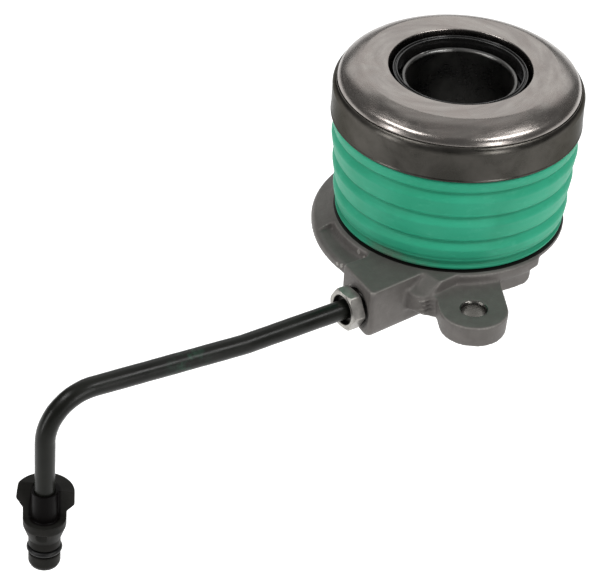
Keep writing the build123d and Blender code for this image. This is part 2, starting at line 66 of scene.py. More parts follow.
# ---------------------------------------------------------------- materials
class Mat:
    """A small helper around one node tree."""

    def __init__(self, name):
        self.m = bpy.data.materials.new(name)
        self.m.use_nodes = True
        self.t = self.m.node_tree
        self.t.nodes.clear()
        self.out = self.t.nodes.new("ShaderNodeOutputMaterial")
        self.b = self.t.nodes.new("ShaderNodeBsdfPrincipled")
        self.link(self.b.outputs[0], self.out.inputs[0])
        self.co = self.t.nodes.new("ShaderNodeTexCoord").outputs["Object"]

    def link(self, a, b):
        self.t.links.new(a, b)

    def set(self, **kw):
        for k, v in kw.items():
            self.b.inputs[k.replace("_", " ")].default_value = v

    def put(self, key, out):
        self.link(out, self.b.inputs[key])

    def scaled(self, v):
        n = self.t.nodes.new("ShaderNodeMapping")
        n.inputs["Scale"].default_value = v
        self.link(self.co, n.inputs["Vector"])
        return n.outputs[0]

    def noise(self, scale, detail=3.0, rough=0.5, vec=None, dist=0.0):
        n = self.t.nodes.new("ShaderNodeTexNoise")
        n.inputs["Scale"].default_value = scale
        n.inputs["Detail"].default_value = detail
        n.inputs["Roughness"].default_value = rough
        n.inputs["Distortion"].default_value = dist
        self.link(self.co if vec is None else vec, n.inputs["Vector"])
        return n.outputs["Fac"]

    def cells(self, scale, vec=None):
        n = self.t.nodes.new("ShaderNodeTexVoronoi")
        n.inputs["Scale"].default_value = scale
        self.link(self.co if vec is None else vec, n.inputs["Vector"])
        return n.outputs["Distance"]

    def turned(self, k_r, k_a, k_z):
        """Object coordinates unrolled round the Z axis: radius, angle, height."""
        sep = self.t.nodes.new("ShaderNodeSeparateXYZ")
        self.link(self.co, sep.inputs[0])
        r2 = self.math("ADD", self.math("MULTIPLY", sep.outputs[0], sep.outputs[0]),
                       self.math("MULTIPLY", sep.outputs[1], sep.outputs[1]))
        r = self.math("SQRT", r2)
        # the angle is taken through its sine and cosine, so that it has no seam
        c = self.math("DIVIDE", sep.outputs[0], r)
        s = self.math("DIVIDE", sep.outputs[1], r)
        comb = self.t.nodes.new("ShaderNodeCombineXYZ")
        self.link(self.math("ADD", self.math("MULTIPLY", r, k_r),
                            self.math("MULTIPLY", c, k_a)), comb.inputs[0])
        self.link(self.math("MULTIPLY", s, k_a), comb.inputs[1])
        self.link(self.math("MULTIPLY", sep.outputs[2], k_z), comb.inputs[2])
        return comb.outputs[0]

    def math(self, op, a, b=None, c=None):
        n = self.t.nodes.new("ShaderNodeMath")
        n.operation = op
        for i, v in enumerate((a, b, c)):
            if v is None:
                continue
            if isinstance(v, (int, float)):
                n.inputs[i].default_value = v
            else:
                self.link(v, n.inputs[i])
        return n.outputs[0]

    def ramp(self, fac, *stops):
        n = self.t.nodes.new("ShaderNodeValToRGB")
        cr = n.color_ramp
        while len(cr.elements) < len(stops):
            cr.elements.new(0.5)
        for e, (p, c) in zip(cr.elements, stops):
            e.position = p
            e.color = c if isinstance(c, tuple) else (c, c, c, 1.0)
        self.link(fac, n.inputs[0])
        return n.outputs[0]

    def mix(self, fac, a, b, blend="MIX"):
        n = self.t.nodes.new("ShaderNodeMix")
        n.data_type = "RGBA"
        n.blend_type = blend
        for key, v in ((0, fac), (6, a), (7, b)):
            if isinstance(v, (int, float)):
                n.inputs[key].default_value = v
            elif isinstance(v, tuple):
                n.inputs[key].default_value = v
            else:
                self.link(v, n.inputs[key])
        return n.outputs[2]

    def bump(self, height, dist, strength=1.0, below=None):
        n = self.t.nodes.new("ShaderNodeBump")
        n.inputs["Strength"].default_value = strength
        n.inputs["Distance"].default_value = dist
        self.link(height, n.inputs["Height"])
        if below is not None:
            self.link(below, n.inputs["Normal"])
        return n.outputs[0]

    def edge(self):
        """Pointiness of the surface: above 0.5 on ridges, below in hollows."""
        return self.t.nodes.new("ShaderNodeNewGeometry").outputs["Pointiness"]


def cast_metal():
    m = Mat("cast_aluminium")
    big = m.noise(70, 4, 0.6)
    fine = m.noise(1400, 5, 0.65)
    spots = m.noise(420, 3, 0.55)
    base = m.ramp(big, (0.30, lin(95, 92, 89)), (0.70, lin(112, 108, 105)))
    base = m.mix(m.ramp(spots, (0.35, 0.0), (0.62, 0.38)), base, lin(92, 88, 85))
    worn = m.ramp(m.edge(), (0.523, 0.0), (0.582, 0.6))
    base = m.mix(worn, base, lin(178, 174, 168))
    # painted shade: hollows and inner corners darkened by pointiness
    hollow_shade = m.ramp(m.edge(), (0.43, 0.6), (0.485, 0.0))
    base = m.mix(hollow_shade, base, lin(52, 48, 45))
    # drilled ear holes: bare and shiny inside
    sep = m.t.nodes.new("ShaderNodeSeparateXYZ")
    m.link(m.co, sep.inputs[0])
    inside = None
    for az in (-77.9, 102.1):
        ex, ey = 0.045 * math.cos(math.radians(az)), 0.045 * math.sin(math.radians(az))
        dx = m.math("SUBTRACT", sep.outputs[0], ex)
        dy = m.math("SUBTRACT", sep.outputs[1], ey)
        d = m.math("SQRT", m.math("ADD", m.math("MULTIPLY", dx, dx), m.math("MULTIPLY", dy, dy)))
        hit = m.math("LESS_THAN", d, 0.00392)
        inside = hit if inside is None else m.math("MAXIMUM", inside, hit)
    base = m.mix(inside, base, lin(104, 102, 98))
    # painted shadow: a dark ring on the collar top, just under the foot of the boot
    ring_r = m.math("SQRT", m.math("ADD", m.math("MULTIPLY", sep.outputs[0], sep.outputs[0]),
                                   m.math("MULTIPLY", sep.outputs[1], sep.outputs[1])))
    boot_shadow = m.math("MULTIPLY", m.math("LESS_THAN", ring_r, 0.03262), m.math("GREATER_THAN", sep.outputs[2], 0.0093))
    base = m.mix(boot_shadow, base, lin(20, 18, 16))
    m.put("Base Color", base)
    rough = m.ramp(fine, (0.3, 0.46), (0.7, 0.60))
    rough = m.math("SUBTRACT", rough, m.math("MULTIPLY", inside, 0.26))
    m.put("Roughness", rough)
    m.put("Metallic", m.math("MULTIPLY_ADD", inside, 0.6, 0.35))
    m.set(Specular_IOR_Level=0.35)
    n1 = m.bump(fine, 0.00006, 0.55)
    n2 = m.bump(m.cells(2300), 0.00005, 0.35, n1)
    m.put("Normal", m.bump(m.noise(240, 3, 0.5), 0.00012, 0.35, n2))
    return m.m


def ground_steel():
    m = Mat("race_steel")
    ring = m.noise(1.0, 3, 0.6, m.turned(5200, 26, 2600))
    cloud = m.noise(150, 4, 0.6, dist=0.6)
    smear = m.noise(1.0, 4, 0.55, m.turned(420, 3.2, 260))
    base = m.mix(m.ramp(smear, (0.35, 0.0), (0.70, 0.9)), lin(142, 136, 132), lin(166, 161, 156))
    base = m.mix(m.ramp(cloud, (0.45, 0.0), (0.75, 0.45)), base, lin(150, 139, 134))
    m.put("Base Color", base)
    m.put("Roughness", m.math("ADD", m.ramp(ring, (0.3, 0.18), (0.7, 0.26)),
                              m.ramp(cloud, (0.35, 0.0), (0.75, 0.08))))
    m.set(Metallic=1.0)
    n1 = m.bump(ring, 0.000012, 0.5)
    m.put("Normal", m.bump(cloud, 0.00004, 0.18, n1))
    return m.m


def shell_steel():
    m = Mat("shell_steel")
    lines = m.noise(1.0, 3, 0.6, m.turned(900, 16, 3600))
    cloud = m.noise(110, 4, 0.6, dist=0.4)
    base = m.ramp(cloud, (0.35, lin(68, 66, 62)), (0.70, lin(86, 83, 79)))
    worn = m.ramp(m.edge(), (0.53, 0.0), (0.60, 0.7))
    base = m.mix(worn, base, lin(150, 146, 140))
    m.put("Base Color", base)
    m.put("Roughness", m.math("ADD", m.ramp(lines, (0.3, 0.24), (0.7, 0.32)),
                              m.ramp(cloud, (0.4, 0.0), (0.8, 0.10))))
    m.set(Metallic=1.0, Specular_Tint=(0.45, 0.45, 0.44, 1.0))
    m.put("Normal", m.bump(lines, 0.00001, 0.45))
    return m.m


def boot_rubber():
    m = Mat("boot_rubber")
    cloud = m.noise(60, 4, 0.6, dist=0.5)
    dust = m.noise(1.0, 5, 0.6, m.turned(260, 9, 520))
    grain = m.noise(2600, 3, 0.5)
    base = m.ramp(cloud, (0.30, lin(43, 152, 118)), (0.72, lin(53, 164, 130)))
    base = m.mix(m.ramp(dust, (0.55, 0.0), (0.80, 0.28)), base, lin(92, 190, 158))
    # painted shade: the groove hollows darkened by pointiness
    hollow_shade = m.ramp(m.edge(), (0.472, 0.92), (0.498, 0.0))
    base = m.mix(hollow_shade, base, lin(16, 92, 66))
    # painted reflection of the boss on the lowest front lobe, and a darker foot
    sep = m.t.nodes.new("ShaderNodeSeparateXYZ")
    m.link(m.co, sep.inputs[0])
    foot = m.ramp(m.math("MULTIPLY", sep.outputs[2], 50.0), (0.50, 0.50), (0.85, 0.0))
    base = m.mix(foot, base, lin(30, 118, 88))
    low = m.ramp(m.math("MULTIPLY", sep.outputs[2], 50.0), (0.55, 1.0), (0.72, 0.0))
    spot = m.math("ADD", m.math("MULTIPLY", m.math("ADD", sep.outputs[0], 0.0125), m.math("ADD", sep.outputs[0], 0.0125)),
                  m.math("MULTIPLY", m.math("ADD", sep.outputs[1], 0.0300), m.math("ADD", sep.outputs[1], 0.0300)))
    near = m.ramp(m.math("MULTIPLY", spot, 5000.0), (0.10, 1.0), (0.75, 0.0))
    boss_reflection = m.math("MULTIPLY", m.math("MULTIPLY", low, near), m.ramp(m.noise(190, 4, 0.65), (0.36, 0.15), (0.62, 0.75)))
    base = m.mix(boss_reflection, base, lin(92, 96, 86))
    m.put("Base Color", base)
    m.put("Roughness", m.math("ADD", m.ramp(dust, (0.3, 0.42), (0.75, 0.52)),
                              m.ramp(grain, (0.3, 0.0), (0.7, 0.05))))
    m.set(Specular_IOR_Level=0.16, Subsurface_Weight=0.06, Sheen_Weight=0.0)
    m.b.inputs["Subsurface Radius"].default_value = (0.0004, 0.0012, 0.0008)
    n1 = m.bump(grain, 0.00002, 0.35)
    m.put("Normal", m.bump(dust, 0.00010, 0.22, n1))
    return m.m


def black_rubber():
    m = Mat("seal_rubber")
    g = m.noise(1800, 4, 0.6)
    m.put("Base Color", m.ramp(g, (0.3, lin(14, 14, 14)), (0.7, lin(24, 24, 24))))
    m.put("Roughness", m.ramp(g, (0.3, 0.36), (0.7, 0.48)))
    m.set(Specular_IOR_Level=0.28)
    m.put("Normal", m.bump(g, 0.00002, 0.3))
    return m.m


def piston_plastic():
    m = Mat("piston_plastic")
    g = m.noise(1500, 4, 0.6)
    flow = m.noise(1.0, 3, 0.5, m.turned(500, 12, 300))
    m.put("Base Color", m.ramp(flow, (0.3, lin(16, 16, 16)), (0.7, lin(25, 24, 23))))
    m.put("Roughness", m.ramp(g, (0.3, 0.20), (0.7, 0.29)))
    m.set(Specular_IOR_Level=0.5, Coat_Weight=0.1, Coat_Roughness=0.15)
    m.put("Normal", m.bump(g, 0.00001, 0.35))
    return m.m


def sleeve_steel():
    m = Mat("sleeve_steel")
    lines = m.noise(1.0, 3, 0.6, m.turned(2200, 10, 4200))
    cloud = m.noise(170, 3, 0.55)
    base = m.ramp(cloud, (0.3, lin(92, 92, 91)), (0.7, lin(112, 111, 109)))
    # painted highlight: edges and the rounded rim lightened almost to white by pointiness
    base = m.mix(m.ramp(m.edge(), (0.515, 0.0), (0.56, 0.85)), base, lin(205, 203, 200))
    m.put("Base Color", base)
    m.put("Roughness", m.math("ADD", m.ramp(lines, (0.3, 0.24), (0.7, 0.33)),
                              m.ramp(cloud, (0.4, 0.0), (0.8, 0.08))))
    m.set(Metallic=1.0)
    m.put("Normal", m.bump(lines, 0.00001, 0.4))
    return m.m


def zinc():
    m = Mat("zinc_steel")
    spangle = m.cells(900)
    cloud = m.noise(330, 4, 0.6)
    base = m.ramp(cloud, (0.3, lin(132, 130, 126)), (0.7, lin(166, 163, 158)))
    base = m.mix(m.ramp(spangle, (0.0, 0.25), (0.5, 0.0)), base, lin(196, 192, 185))
    worn = m.ramp(m.edge(), (0.52, 0.0), (0.58, 0.6))
    base = m.mix(worn, base, lin(196, 193, 184))
    # painted shade in the recess round the pipe and on the seat face against the boss
    sep = m.t.nodes.new("ShaderNodeSeparateXYZ")
    m.link(m.co, sep.inputs[0])
    px = m.math("ADD", sep.outputs[0], 0.02309)
    py = m.math("ADD", sep.outputs[1], 0.03969)
    pz = m.math("SUBTRACT", sep.outputs[2], 0.0009)
    across = m.math("SUBTRACT", m.math("MULTIPLY", px, 0.6292), m.math("MULTIPLY", py, 0.7772))
    along = m.math("ADD", m.math("MULTIPLY", px, 0.7772), m.math("MULTIPLY", py, 0.6292))
    off = m.math("SQRT", m.math("ADD", m.math("MULTIPLY", across, across), m.math("MULTIPLY", pz, pz)))
    recess_shade = m.math("MAXIMUM", m.math("LESS_THAN", off, 0.00436), m.math("GREATER_THAN", along, -0.00085))
    base = m.mix(m.math("MULTIPLY", recess_shade, 0.93), base, lin(24, 23, 21))
    m.put("Base Color", base)
    m.put("Roughness", m.ramp(cloud, (0.3, 0.34), (0.7, 0.46)))
    m.set(Metallic=0.8)
    m.put("Normal", m.bump(cloud, 0.00006, 0.4, m.bump(spangle, 0.00002, 0.3)))
    return m.m


def pipe_coat():
    m = Mat("pipe_coating")
    peel = m.noise(520, 3, 0.5)
    cloud = m.noise(90, 4, 0.6)
    base = m.ramp(cloud, (0.3, lin(17, 18, 15)), (0.7, lin(25, 26, 22)))
    # a faint greenish scuff on one side
    sep = m.t.nodes.new("ShaderNodeSeparateXYZ")
    m.link(m.co, sep.inputs[0])
    near = m.math("SUBTRACT", 1.0, m.math("MULTIPLY", m.math("ABSOLUTE", m.math("ADD", sep.outputs[0], 0.0655)), 160.0))
    scuff = m.math("MULTIPLY", m.ramp(near, (0.0, 0.0), (0.9, 1.0)), m.ramp(m.noise(420, 4, 0.65), (0.48, 0.0), (0.62, 0.75)))
    base = m.mix(scuff, base, lin(38, 66, 52))
    m.put("Base Color", base)
    m.put("Roughness", m.ramp(cloud, (0.3, 0.28), (0.75, 0.42)))
    m.set(Specular_IOR_Level=0.24, Coat_Weight=0.0, Coat_Roughness=0.22)
    m.put("Normal", m.bump(peel, 0.00005, 0.35, m.bump(m.noise(2600, 2, 0.5), 0.00001, 0.3)))
    return m.m


def black_plastic():
    m = Mat("connector_plastic")
    g = m.noise(2400, 4, 0.6)
    cloud = m.noise(260, 3, 0.5)
    base = m.ramp(cloud, (0.3, lin(30, 30, 28)), (0.7, lin(38, 37, 35)))
    sep = m.t.nodes.new("ShaderNodeSeparateXYZ")
    m.link(m.co, sep.inputs[0])
    # painted shade: the sleeve round the pipe end (within about 4 mm of the pipe axis, above z = -45 mm) is a darker
    # part, and its near black is painted shade
    dx = m.math("MULTIPLY", m.math("ADD", sep.outputs[0], 0.10079), 1000.0)
    dy = m.math("MULTIPLY", m.math("ADD", sep.outputs[1], 0.09536), 1000.0)
    away = m.math("SQRT", m.math("ADD", m.math("MULTIPLY", dx, dx), m.math("MULTIPLY", dy, dy)))
    tube = m.math("MULTIPLY", m.ramp(m.math("MULTIPLY", away, 0.1), (0.40, 1.0), (0.46, 0.0)),
                  m.ramp(m.math("MULTIPLY_ADD", sep.outputs[2], 20.0, 1.4), (0.42, 0.0), (0.50, 1.0)))
    base = m.mix(tube, base, lin(9, 7, 7))
    m.put("Base Color", base)
    m.put("Roughness", m.math("ADD", m.ramp(g, (0.3, 0.36), (0.7, 0.44)),
                              m.ramp(cloud, (0.4, 0.0), (0.8, 0.08))))
    m.set(Specular_IOR_Level=0.06)
    m.put("Normal", m.bump(g, 0.00003, 0.4))
    return m.m


def plain_metal(name, a, b, lo, hi):
    m = Mat(name)
    cloud = m.noise(300, 4, 0.6)
    fine = m.noise(2600, 2, 0.5)
    m.put("Base Color", m.ramp(cloud, (0.3, a), (0.7, b)))
    m.put("Roughness", m.ramp(fine, (0.3, lo), (0.7, hi)))
    m.set(Metallic=1.0)
    m.put("Normal", m.bump(fine, 0.00001, 0.4))
    return m.m


def plain_plastic(name, a, b):
    m = Mat(name)
    cloud = m.noise(220, 4, 0.6)
    m.put("Base Color", m.ramp(cloud, (0.3, a), (0.7, b)))
    m.put("Roughness", m.ramp(cloud, (0.3, 0.38), (0.7, 0.5)))
    m.put("Normal", m.bump(m.noise(2000, 3, 0.5), 0.00002, 0.4))
    return m.m


MATS = {
    "cast_aluminium": cast_metal(),
    "race_steel": ground_steel(),
    "ball_steel": plain_metal("ball_steel", lin(205, 205, 206), lin(220, 220, 221), 0.05, 0.09),
    "shell_steel": shell_steel(),
    "sleeve_steel": sleeve_steel(),
    "piston_plastic": piston_plastic(),
    "boot_rubber": boot_rubber(),
    "seal_rubber": black_rubber(),
    "support_plastic": plain_plastic("support_plastic", lin(222, 220, 212), lin(238, 236, 230)),
    "cage_plastic": plain_plastic("cage_plastic", lin(140, 120, 86), lin(164, 142, 104)),
    "spring_steel": plain_metal("spring_steel", lin(96, 96, 98), lin(126, 126, 128), 0.24, 0.36),
    "zinc_steel": zinc(),
    "pipe_coating": pipe_coat(),
    "connector_plastic": black_plastic(),
}
slot_of = {s["node"]: s["material_slot"] for s in frame["record"]["subparts"]}


def dress(obj, slot):
    obj.data.materials.clear()
    obj.data.materials.append(MATS[slot])


for node, obj in frame["nodes"].items():
    if obj.material_slots:
        for ms in obj.material_slots:
            ms.material = MATS[slot_of[node]]
    else:
        obj.data.materials.append(MATS[slot_of[node]])


# --------------------------------------------------------------- mesh tools
def rounded(pts, seg=5, closed=True):
    """Corner points (x, y[, radius]) to a polyline whose corners are arcs, with
    a support point just outside each arc so that flats shade flat."""
    out = []
    n = len(pts)
    for i, p in enumerate(pts):
        x, y = p[0], p[1]
        r = p[2] if len(p) > 2 else 0.0
        if r <= 0 or (not closed and i in (0, n - 1)):
            out.append((x, y))
            continue
        a = np.array(pts[i - 1][:2], float) - (x, y)
        b = np.array(pts[(i + 1) % n][:2], float) - (x, y)
        la, lb = np.linalg.norm(a), np.linalg.norm(b)
        a, b = a / la, b / lb
        ang = math.acos(max(-1.0, min(1.0, float(a @ b))))
        t = min(r / math.tan(ang / 2), 0.47 * la, 0.47 * lb)
        r = t * math.tan(ang / 2)
        p0, p1 = np.array((x, y)) + a * t, np.array((x, y)) + b * t
        mid = (a + b) / np.linalg.norm(a + b)
        c = np.array((x, y)) + mid * (r / math.sin(ang / 2))
        v0, v1 = p0 - c, p1 - c
        turn = math.pi - ang
        sign = 1.0 if v0[0] * v1[1] - v0[1] * v1[0] > 0 else -1.0
        out.append(tuple(p0 + a * min(0.03, 0.02 * la)))
        for k in range(seg + 1):
            w = sign * turn * k / seg
            out.append((c[0] + v0[0] * math.cos(w) - v0[1] * math.sin(w),
                        c[1] + v0[0] * math.sin(w) + v0[1] * math.cos(w)))
        out.append(tuple(p1 + b * min(0.03, 0.02 * lb)))
    return out


def new_mesh(name, verts, faces, smooth=True):
    me = bpy.data.meshes.new(name)
    me.from_pydata([tuple(v) for v in verts], [], faces)
    me.update()
    bm = bmesh.new()
    bm.from_mesh(me)
    bmesh.ops.recalc_face_normals(bm, faces=bm.faces)
    bm.to_mesh(me)
    bm.free()
    me.polygons.foreach_set("use_smooth", [smooth] * len(me.polygons))
    me.update()
    ob = bpy.data.objects.new(name, me)
    scene.collection.objects.link(ob)
    return ob


def lathe(name, profile, segs=192, wobble=None, frame_of=None):
    """Closed profile of (radius, height) in mm, turned round Z. wobble(r, z,
    angle) may change the radius. frame_of maps (x, y, z) mm to the row frame."""
    n = len(profile)
    ang = np.linspace(0, 2 * math.pi, segs, endpoint=False)
    pr = np.array([p[0] for p in profile])
    pz = np.array([p[1] for p in profile])
    R = np.repeat(pr[:, None], segs, 1)
    Z = np.repeat(pz[:, None], segs, 1)
    A = np.repeat(ang[None, :], n, 0)
    if wobble is not None:
        R = wobble(R, Z, A)
    V = np.stack([R * np.cos(A), R * np.sin(A), Z], -1).reshape(-1, 3)
    if frame_of is not None:
        V = frame_of(V)
    V = V * MM
    faces = []
    for i in range(n):
        j = (i + 1) % n
        for k in range(segs):
            l = (k + 1) % segs
            faces.append((i * segs + k, i * segs + l, j * segs + l, j * segs + k))
    return new_mesh(name, V, faces)


def arc(p0, p1, p2, n=10):
    """Points on the circle through three points, from p0 to p2."""
    (ax, ay), (bx, by), (cx, cy) = p0, p1, p2
    d = 2 * (ax * (by - cy) + bx * (cy - ay) + cx * (ay - by))
    ux = ((ax**2 + ay**2) * (by - cy) + (bx**2 + by**2) * (cy - ay) + (cx**2 + cy**2) * (ay - by)) / d
    uy = ((ax**2 + ay**2) * (cx - bx) + (bx**2 + by**2) * (ax - cx) + (cx**2 + cy**2) * (bx - ax)) / d
    r = math.hypot(ax - ux, ay - uy)
    a0 = math.atan2(ay - uy, ax - ux)
    a2 = math.atan2(cy - uy, cx - ux)
    a1 = math.atan2(by - uy, bx - ux)
    two = 2 * math.pi
    span = (a2 - a0) % two
    if not (a1 - a0) % two < span:
        span -= two
    return [(ux + r * math.cos(a0 + span * k / n), uy + r * math.sin(a0 + span * k / n))
            for k in range(n + 1)]


def finished(obj, node, body, slot=None):
    dress(obj, slot or slot_of[node])
    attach(obj, body)
    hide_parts(node)
    return obj


# ------------------------------------------------------------------ bearing
prof = [(20.0, F - 0.3)] + arc((20.0, F - 0.3), (20.09, F - 0.09), (20.3, F), 5)[1:]
prof += [(20.5, F), (27.0, F)]
prof += arc((27.3, F), (30.0, F - 1.05), (32.4, F - 2.6), 14)
prof += arc((32.4, F - 2.6), (33.35, F - 3.55), (33.85, F - 4.8), 12)[1:]
prof += rounded([(33.85, F - 4.85), (33.85, F - 5.2, 0.15), (25.4, F - 5.2, 0.25), (25.4, F - 7.1)], 4, False)[1:]
g = [(25.4, F - 9.9 + math.sqrt(2.83**2 - 1.6**2))]
prof += arc((25.4, F - 9.9 + 2.334), (24.17, F - 9.9), (25.4, F - 9.9 - 2.334), 14)
prof += rounded([(25.4, F - 12.4), (25.4, F - 13.5, 0.3), (20.0, F - 13.5, 0.5), (20.0, F - 0.8)], 4, False)[1:]
face_ring = finished(lathe("face_ring", prof, 256), "thrust_ring", "rotor")

prof = arc((35.05, F - 7.6), (34.80, F - 5.9), (34.12, F - 5.02), 12)
prof += [(34.05, F - 5.05), (34.0, F - 5.15), (34.0, F - 5.56), (34.35, F - 5.57)]
prof += rounded([(34.35, F - 5.57), (34.35, F - 15.7, 0.1), (34.95, F - 15.7, 0.12), (35.15, F - 15.5, 0.12),
                 (35.15, F - 15.2, 0.15), (35.05, F - 14.9, 0.4), (35.05, F - 7.6)], 7, False)[1:-1]
shell = finished(lathe("bearing_can", prof, 256), "bearing_shell", "bearing")

# ------------------------------------------------------- sleeve and piston
prof = rounded([(14.8, F - 4.9), (14.8, -3.6, 0.2), (15.2, -4.0, 0.2), (19.5, -4.0, 0.4), (19.5, -2.4, 0.3), (16.2, -2.4, 0.1),
                (16.2, 49.2), (15.7, 49.2), (15.7, 50.3), (16.2, 50.3), (16.2, F - 3.95)], 7, False)
prof += arc((16.2, F - 3.9), (16.06, F - 3.62), (15.78, F - 3.5), 7)
prof += arc((15.7, F - 3.5), (15.07, F - 3.80), (14.8, F - 4.6), 9)
sleeve = finished(lathe("guide_tube", prof, 224), "guide_sleeve", "housing")

prof = rounded([(16.26, 17.3, 0.1), (20.44, 17.3, 0.4), (20.44, F - 17.1, 0.2), (24.0, F - 17.1, 0.3),
                (24.0, F - 15.14, 0.3), (18.8, F - 15.14, 0.15), (18.8, F - 1.2, 0.22), (18.4, F - 1.2, 0.2),
                (18.2, F - 1.75, 0.2), (17.95, F - 1.75, 0.2), (17.8, F - 1.3, 0.15), (17.4, F - 1.3, 0.2),
                (17.4, F - 7.2, 0.1), (16.26, F - 7.2, 0.1)], 5)
piston = finished(lathe("ring_piston", prof, 224), "piston", "piston")

# -------------------------------------------------------------- rubber boot
SB = F - 15.7
BB = 10.35


def env(z):
    return 34.7 + (32.25 - 34.7) * max(0.0, (SB - z) / (SB - BB))


grooves = [F - 20.2, F - 28.5, F - 36.8, F - 44.1]
keys = [(33.3, F - 15.15), (33.3, F - 15.6), (33.45, F - 15.88), (env(SB - 0.6) - 0.3, F - 16.2), (env(SB - 1.2), F - 16.9)]
for i, zg in enumerate(grooves):
    keys += [(env(zg + 1.8) - 0.02, zg + 1.8), (env(zg + 1.1) - 0.08, zg + 1.1), (env(zg) - 0.30, zg + 0.66),
             (env(zg) - 0.70, zg + 0.34), (env(zg) - 0.95, zg - 0.02), (env(zg) - 0.93, zg - 0.42)]
    if i < 3:
        keys += [(env(zg) - 0.62, zg - 0.92), (env(zg) - 0.22, zg - 1.5), (env(zg) + 0.14, zg - 2.4),
                 (env(zg - 3.4) + 0.28, zg - 3.4), (env(zg - 4.9) + 0.18, zg - 4.9)]
    else:
        keys += [(env(zg) - 0.60, zg - 0.74)]
keys += [(32.25, BB + 0.9), (32.16, BB + 0.3), (31.9, BB + 0.02), (31.4, BB)]


def spline(pts, n):
    """Catmull-Rom through the points, centripetal, n samples a span."""
    P = [np.array(p, float) for p in pts]
    P = [2 * P[0] - P[1]] + P + [2 * P[-1] - P[-2]]
    out = []
    for i in range(1, len(P) - 2):
        p0, p1, p2, p3 = P[i - 1], P[i], P[i + 1], P[i + 2]
        t = [0.0]
        for a, b in ((p0, p1), (p1, p2), (p2, p3)):
            t.append(t[-1] + math.sqrt(max(1e-6, float(np.linalg.norm(b - a)))))
        for k in range(n):
            u = t[1] + (t[2] - t[1]) * k / n
            a1 = (t[1] - u) / (t[1] - t[0]) * p0 + (u - t[0]) / (t[1] - t[0]) * p1
            a2 = (t[2] - u) / (t[2] - t[1]) * p1 + (u - t[1]) / (t[2] - t[1]) * p2
            a3 = (t[3] - u) / (t[3] - t[2]) * p2 + (u - t[2]) / (t[3] - t[2]) * p3
            b1 = (t[2] - u) / (t[2] - t[0]) * a1 + (u - t[0]) / (t[2] - t[0]) * a2
            b2 = (t[3] - u) / (t[3] - t[1]) * a2 + (u - t[1]) / (t[3] - t[1]) * a3
            c = (t[2] - u) / (t[2] - t[1]) * b1 + (u - t[1]) / (t[2] - t[1]) * b2
            out.append((float(c[0]), float(c[1])))
    out.append((float(P[-2][0]), float(P[-2][1])))
    return out


outer = spline(keys, 4)
inner = [(30.65, BB), (30.65, 12.5)]
inner += [(r - 1.1, z) for r, z in reversed(outer[::3]) if 13.6 < z < SB - 1.4]
inner += [(31.9, SB - 0.9), (31.9, F - 15.15)]


def soft_wave(R, Z, A):
    """Moulded rubber is never quite round."""
    w = 0.05 * np.sin(3 * A + 0.9 + Z * 0.03) + 0.035 * np.sin(7 * A + 2.1 + Z * 0.11) + 0.02 * np.sin(13 * A + Z * 0.3)
    inside = np.clip((SB - 1.0 - Z) / 2.0, 0, 1) * np.clip((Z - BB - 1.0) / 2.0, 0, 1)
    return R + w * inside


boot = finished(lathe("rubber_boot", outer + inner, 256, soft_wave), "dust_boot", "housing")
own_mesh(boot)

spring_src = frame["nodes"]["preload_spring"]
spring = bpy.data.objects.new("coil_spring", spring_src.data.copy())
scene.collection.objects.link(spring)
spring.data.polygons.foreach_set("use_smooth", [True] * len(spring.data.polygons))
finished(spring, "preload_spring", "housing")
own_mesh(spring)

# ------------------------------------------------------------ pipe and ends
PORT = np.array((-23.09, -39.69, 0.9))
BEND_1 = np.array((-51.55, -62.73, 0.9))
BEND_2 = np.array((-100.79, -95.36, 0.9))
END = np.array((-100.79, -95.36, -36.8))
AX = (PORT - BEND_1) / np.linalg.norm(PORT - BEND_1)


def pipe_path(points, radii, step=2.0, arc_step=6.0):
    """Straight runs joined by tangent arcs: points and unit tangents."""
    pts, tan = [], []
    cur = points[0]
    for i in range(1, len(points) - 1):
        p = points[i]
        a = points[i - 1] - p
        b = points[i + 1] - p
        a, b = a / np.linalg.norm(a), b / np.linalg.norm(b)
        ang = math.acos(float(a @ b))
        t = radii[i - 1] / math.tan(ang / 2)
        s, e = p + a * t, p + b * t
        k = max(2, int(np.linalg.norm(s - cur) / step))
        for j in range(k):
            pts.append(cur + (s - cur) * j / k)
            tan.append(-a)
        mid = (a + b) / np.linalg.norm(a + b)
        c = p + mid * radii[i - 1] / math.sin(ang / 2)
        u = (s - c) / radii[i - 1]
        turn = math.pi - ang
        m = max(3, int(math.degrees(turn) / arc_step) + 1)
        for j in range(m):
            w = turn * j / m
            pts.append(c + radii[i - 1] * (u * math.cos(w) - a * math.sin(w)))
            tan.append(-u * math.sin(w) - a * math.cos(w))
        cur = e
    d = points[-1] - cur
    L = np.linalg.norm(d)
    k = max(2, int(L / step))
    for j in range(k + 1):
        pts.append(cur + d * j / k)
        tan.append(d / L)
    return np.array(pts), np.array(tan)


P, T = pipe_path([PORT + AX * 9.45, BEND_1, BEND_2, END], [20.0, 14.2], 1.5, 2.5)
SEG = 56
up = np.array((0.0, 0.0, 1.0))
rings = []
side = np.cross(T[0], up)
side /= np.linalg.norm(side)
for p, t in zip(P, T):
    side = side - t * float(side @ t)
    side /= np.linalg.norm(side)
    rings.append((p, side.copy(), np.cross(side, t)))


def tube_ring(i, r):
    p, s, n = rings[i]
    a = np.linspace(0, 2 * math.pi, SEG, endpoint=False)
    return p + r * (np.cos(a)[:, None] * s + np.sin(a)[:, None] * n)


